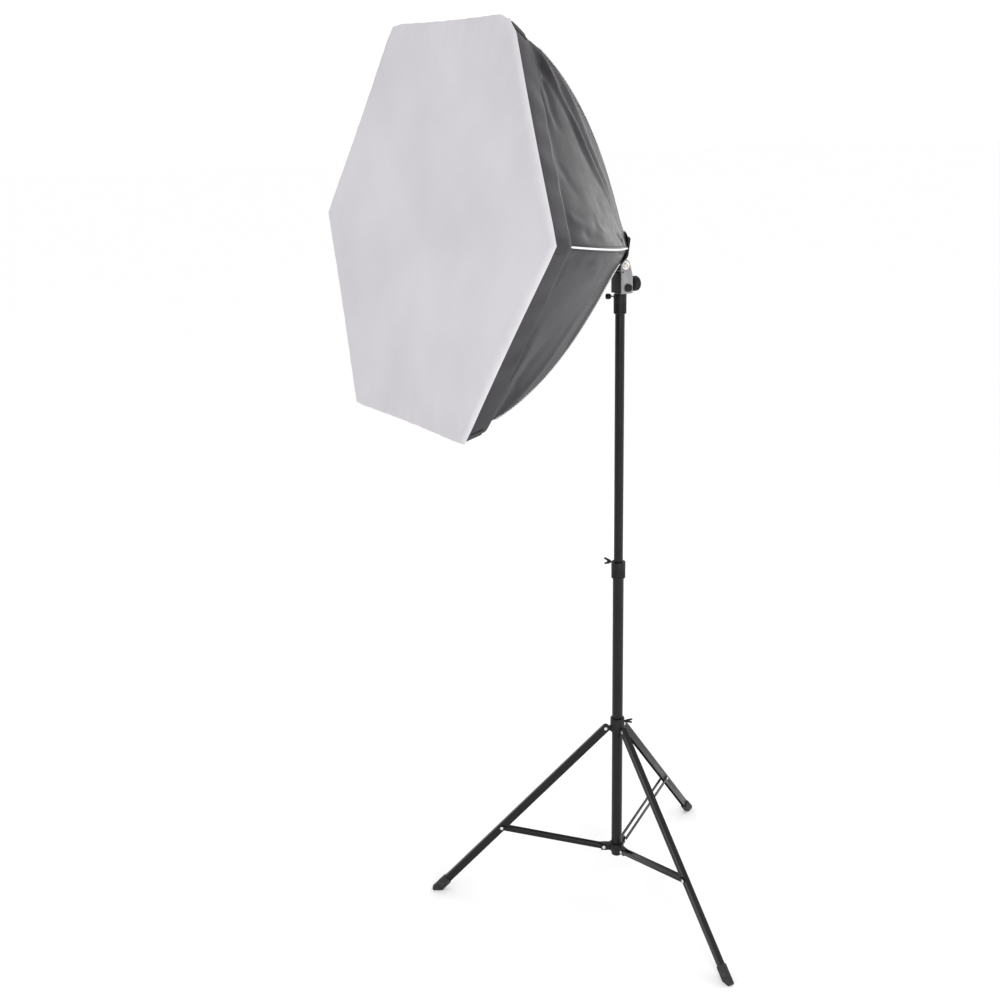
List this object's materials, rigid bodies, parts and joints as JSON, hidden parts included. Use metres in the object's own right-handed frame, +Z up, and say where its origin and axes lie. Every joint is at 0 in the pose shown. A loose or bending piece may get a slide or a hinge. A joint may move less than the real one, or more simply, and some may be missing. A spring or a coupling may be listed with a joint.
{
  "type": "studio softbox",
  "caption": "Hexagonal fabric softbox with a lamp head, tilting and swivelling on a three-section light stand whose three braced legs fold up along the tube.",
  "frame": {"origin": "middle of the whole object's footprint, on the floor plane", "axes": "+Z up along the stand; the softbox faces -Y, turned up by 9 degrees"},
  "size_m": [0.803, 0.8364, 1.799],
  "materials": {
    "black_metal": "semi-gloss black",
    "black_plastic": "satin black",
    "rubber": "matt",
    "steel": "plated",
    "bracket_metal": "satin grey",
    "rod_metal": "spring steel",
    "white_plastic": "glossy white",
    "lamp_white": "opal",
    "black_cloth": "satin coated",
    "white_cloth": "woven white"
  },
  "bodies": {
    "stand": {"lower_tube": "black_metal", "tube_end_plug": "black_plastic", "brace_bracket": "black_plastic", "bracket_pin_1": "steel", "bracket_pin_2": "steel", "bracket_pin_3": "steel", "lower_collar": "black_plastic"},
    "hub": {"leg_hub": "black_plastic", "hub_pin_1": "steel", "hub_pin_2": "steel", "hub_pin_3": "steel"},
    "hub_knob": {"hub_lock_knob": "black_plastic"},
    "leg_1": {"leg_1": "black_metal", "foot_1": "rubber", "leg_pin_1": "steel"},
    "leg_2": {"leg_2": "black_metal", "foot_2": "rubber", "leg_pin_2": "steel"},
    "leg_3": {"leg_3": "black_metal", "foot_3": "rubber", "leg_pin_3": "steel"},
    "brace_1": {"brace_1_left": "black_metal", "brace_1_right": "black_metal"},
    "brace_2": {"brace_2_left": "black_metal", "brace_2_right": "black_metal"},
    "brace_3": {"brace_3_left": "black_metal", "brace_3_right": "black_metal"},
    "lower_knob": {"lower_collar_knob": "black_plastic"},
    "middle_section": {"middle_tube": "black_metal", "upper_collar": "black_plastic"},
    "upper_knob": {"upper_collar_knob": "black_plastic"},
    "top_section": {"top_tube": "black_metal", "stand_stud": "steel"},
    "yoke": {"stand_socket": "black_plastic", "tilt_yoke": "bracket_metal", "clamp_screw": "black_plastic", "tilt_bolt": "steel"},
    "stud_knob": {"stud_lock_knob": "black_plastic"},
    "tilt_knob": {"tilt_lock_knob": "black_plastic"},
    "softbox": {"lamp_housing": "black_plastic", "power_inlet": "black_plastic", "lampholder": "white_plastic", "lamp_base": "steel", "lamp_globe": "lamp_white", "rod_hub": "black_plastic", "diffuser": "white_cloth", "rod_1": "rod_metal", "rod_2": "rod_metal", "rod_3": "rod_metal", "rod_4": "rod_metal", "rod_5": "rod_metal", "rod_6": "rod_metal", "gore_1": "black_cloth", "gore_2": "black_cloth", "gore_3": "black_cloth", "gore_4": "black_cloth", "gore_5": "black_cloth", "gore_6": "black_cloth"}
  },
  "joints": [
    {"name": "hub_slide", "type": "slide", "parent": "stand", "child": "hub", "axis": [0, 0, 1], "range_m": [0, 0.2672]},
    {"name": "leg_fold_1", "type": "hinge", "parent": "hub", "child": "leg_1", "pos_m": [0.02293, 0.05591, 0.385], "axis": [0.0471, 0.9989, 0], "range_deg": [0, 41]},
    {"name": "leg_fold_2", "type": "hinge", "parent": "hub", "child": "leg_2", "pos_m": [-0.01278, 0.07884, 0.385], "axis": [-0.8886, -0.4586, 0], "range_deg": [0, 41]},
    {"name": "leg_fold_3", "type": "hinge", "parent": "hub", "child": "leg_3", "pos_m": [-0.01478, 0.03645, 0.385], "axis": [0.8415, -0.5402, 0], "range_deg": [0, 41]},
    {"name": "brace_fold_1", "type": "hinge", "parent": "stand", "child": "brace_1", "pos_m": [0.02643, 0.05575, 0.104], "axis": [-0.0471, -0.9989, 0], "range_deg": [0, 74.5]},
    {"name": "brace_fold_2", "type": "hinge", "parent": "stand", "child": "brace_2", "pos_m": [-0.01438, 0.08195, 0.104], "axis": [0.8886, 0.4586, 0], "range_deg": [0, 74.5]},
    {"name": "brace_fold_3", "type": "hinge", "parent": "stand", "child": "brace_3", "pos_m": [-0.01667, 0.03351, 0.104], "axis": [-0.8415, 0.5402, 0], "range_deg": [0, 74.5]},
    {"name": "middle_slide", "type": "slide", "parent": "stand", "child": "middle_section", "axis": [0, 0, 1], "range_m": [-0.5, 0.02]},
    {"name": "top_slide", "type": "slide", "parent": "middle_section", "child": "top_section", "axis": [0, 0, 1], "range_m": [0, 0.46]},
    {"name": "head_swivel", "type": "hinge", "parent": "top_section", "child": "yoke", "pos_m": [-0.00154, 0.05707, 1.3035], "axis": [0, 0, 1], "continuous": true},
    {"name": "head_tilt", "type": "hinge", "parent": "yoke", "child": "softbox", "pos_m": [-0.00154, 0.05707, 1.358], "axis": [-1, 0, 0], "range_deg": [-18, 65]},
    {"name": "hub_knob_turn", "type": "hinge", "parent": "hub", "child": "hub_knob", "pos_m": [-0.00154, 0.05707, 0.401], "axis": [0.5402, 0.8415, 0], "range_deg": [0, 540]},
    {"name": "lower_knob_turn", "type": "hinge", "parent": "stand", "child": "lower_knob", "pos_m": [-0.00154, 0.05707, 0.7535], "axis": [-0.9063, -0.4226, 0], "range_deg": [0, 540]},
    {"name": "upper_knob_turn", "type": "hinge", "parent": "middle_section", "child": "upper_knob", "pos_m": [-0.00154, 0.05707, 1.296], "axis": [-0.8191, -0.5736, 0], "range_deg": [0, 540]},
    {"name": "stud_knob_turn", "type": "hinge", "parent": "yoke", "child": "stud_knob", "pos_m": [-0.00154, 0.06267, 1.319], "axis": [0, 1, 0], "range_deg": [0, 540]},
    {"name": "tilt_knob_turn", "type": "hinge", "parent": "yoke", "child": "tilt_knob", "pos_m": [-0.00154, 0.05707, 1.358], "axis": [-1, 0, 0], "range_deg": [0, 540]}
  ],
  "couplings": [
    {"joint": "leg_fold_1", "follows": "hub_slide", "rad_per_m": 2.6711},
    {"joint": "leg_fold_2", "follows": "hub_slide", "rad_per_m": 2.6711},
    {"joint": "leg_fold_3", "follows": "hub_slide", "rad_per_m": 2.6711},
    {"joint": "brace_fold_1", "follows": "hub_slide", "rad_per_m": 4.8525},
    {"joint": "brace_fold_2", "follows": "hub_slide", "rad_per_m": 4.8525},
    {"joint": "brace_fold_3", "follows": "hub_slide", "rad_per_m": 4.8525}
  ]
}
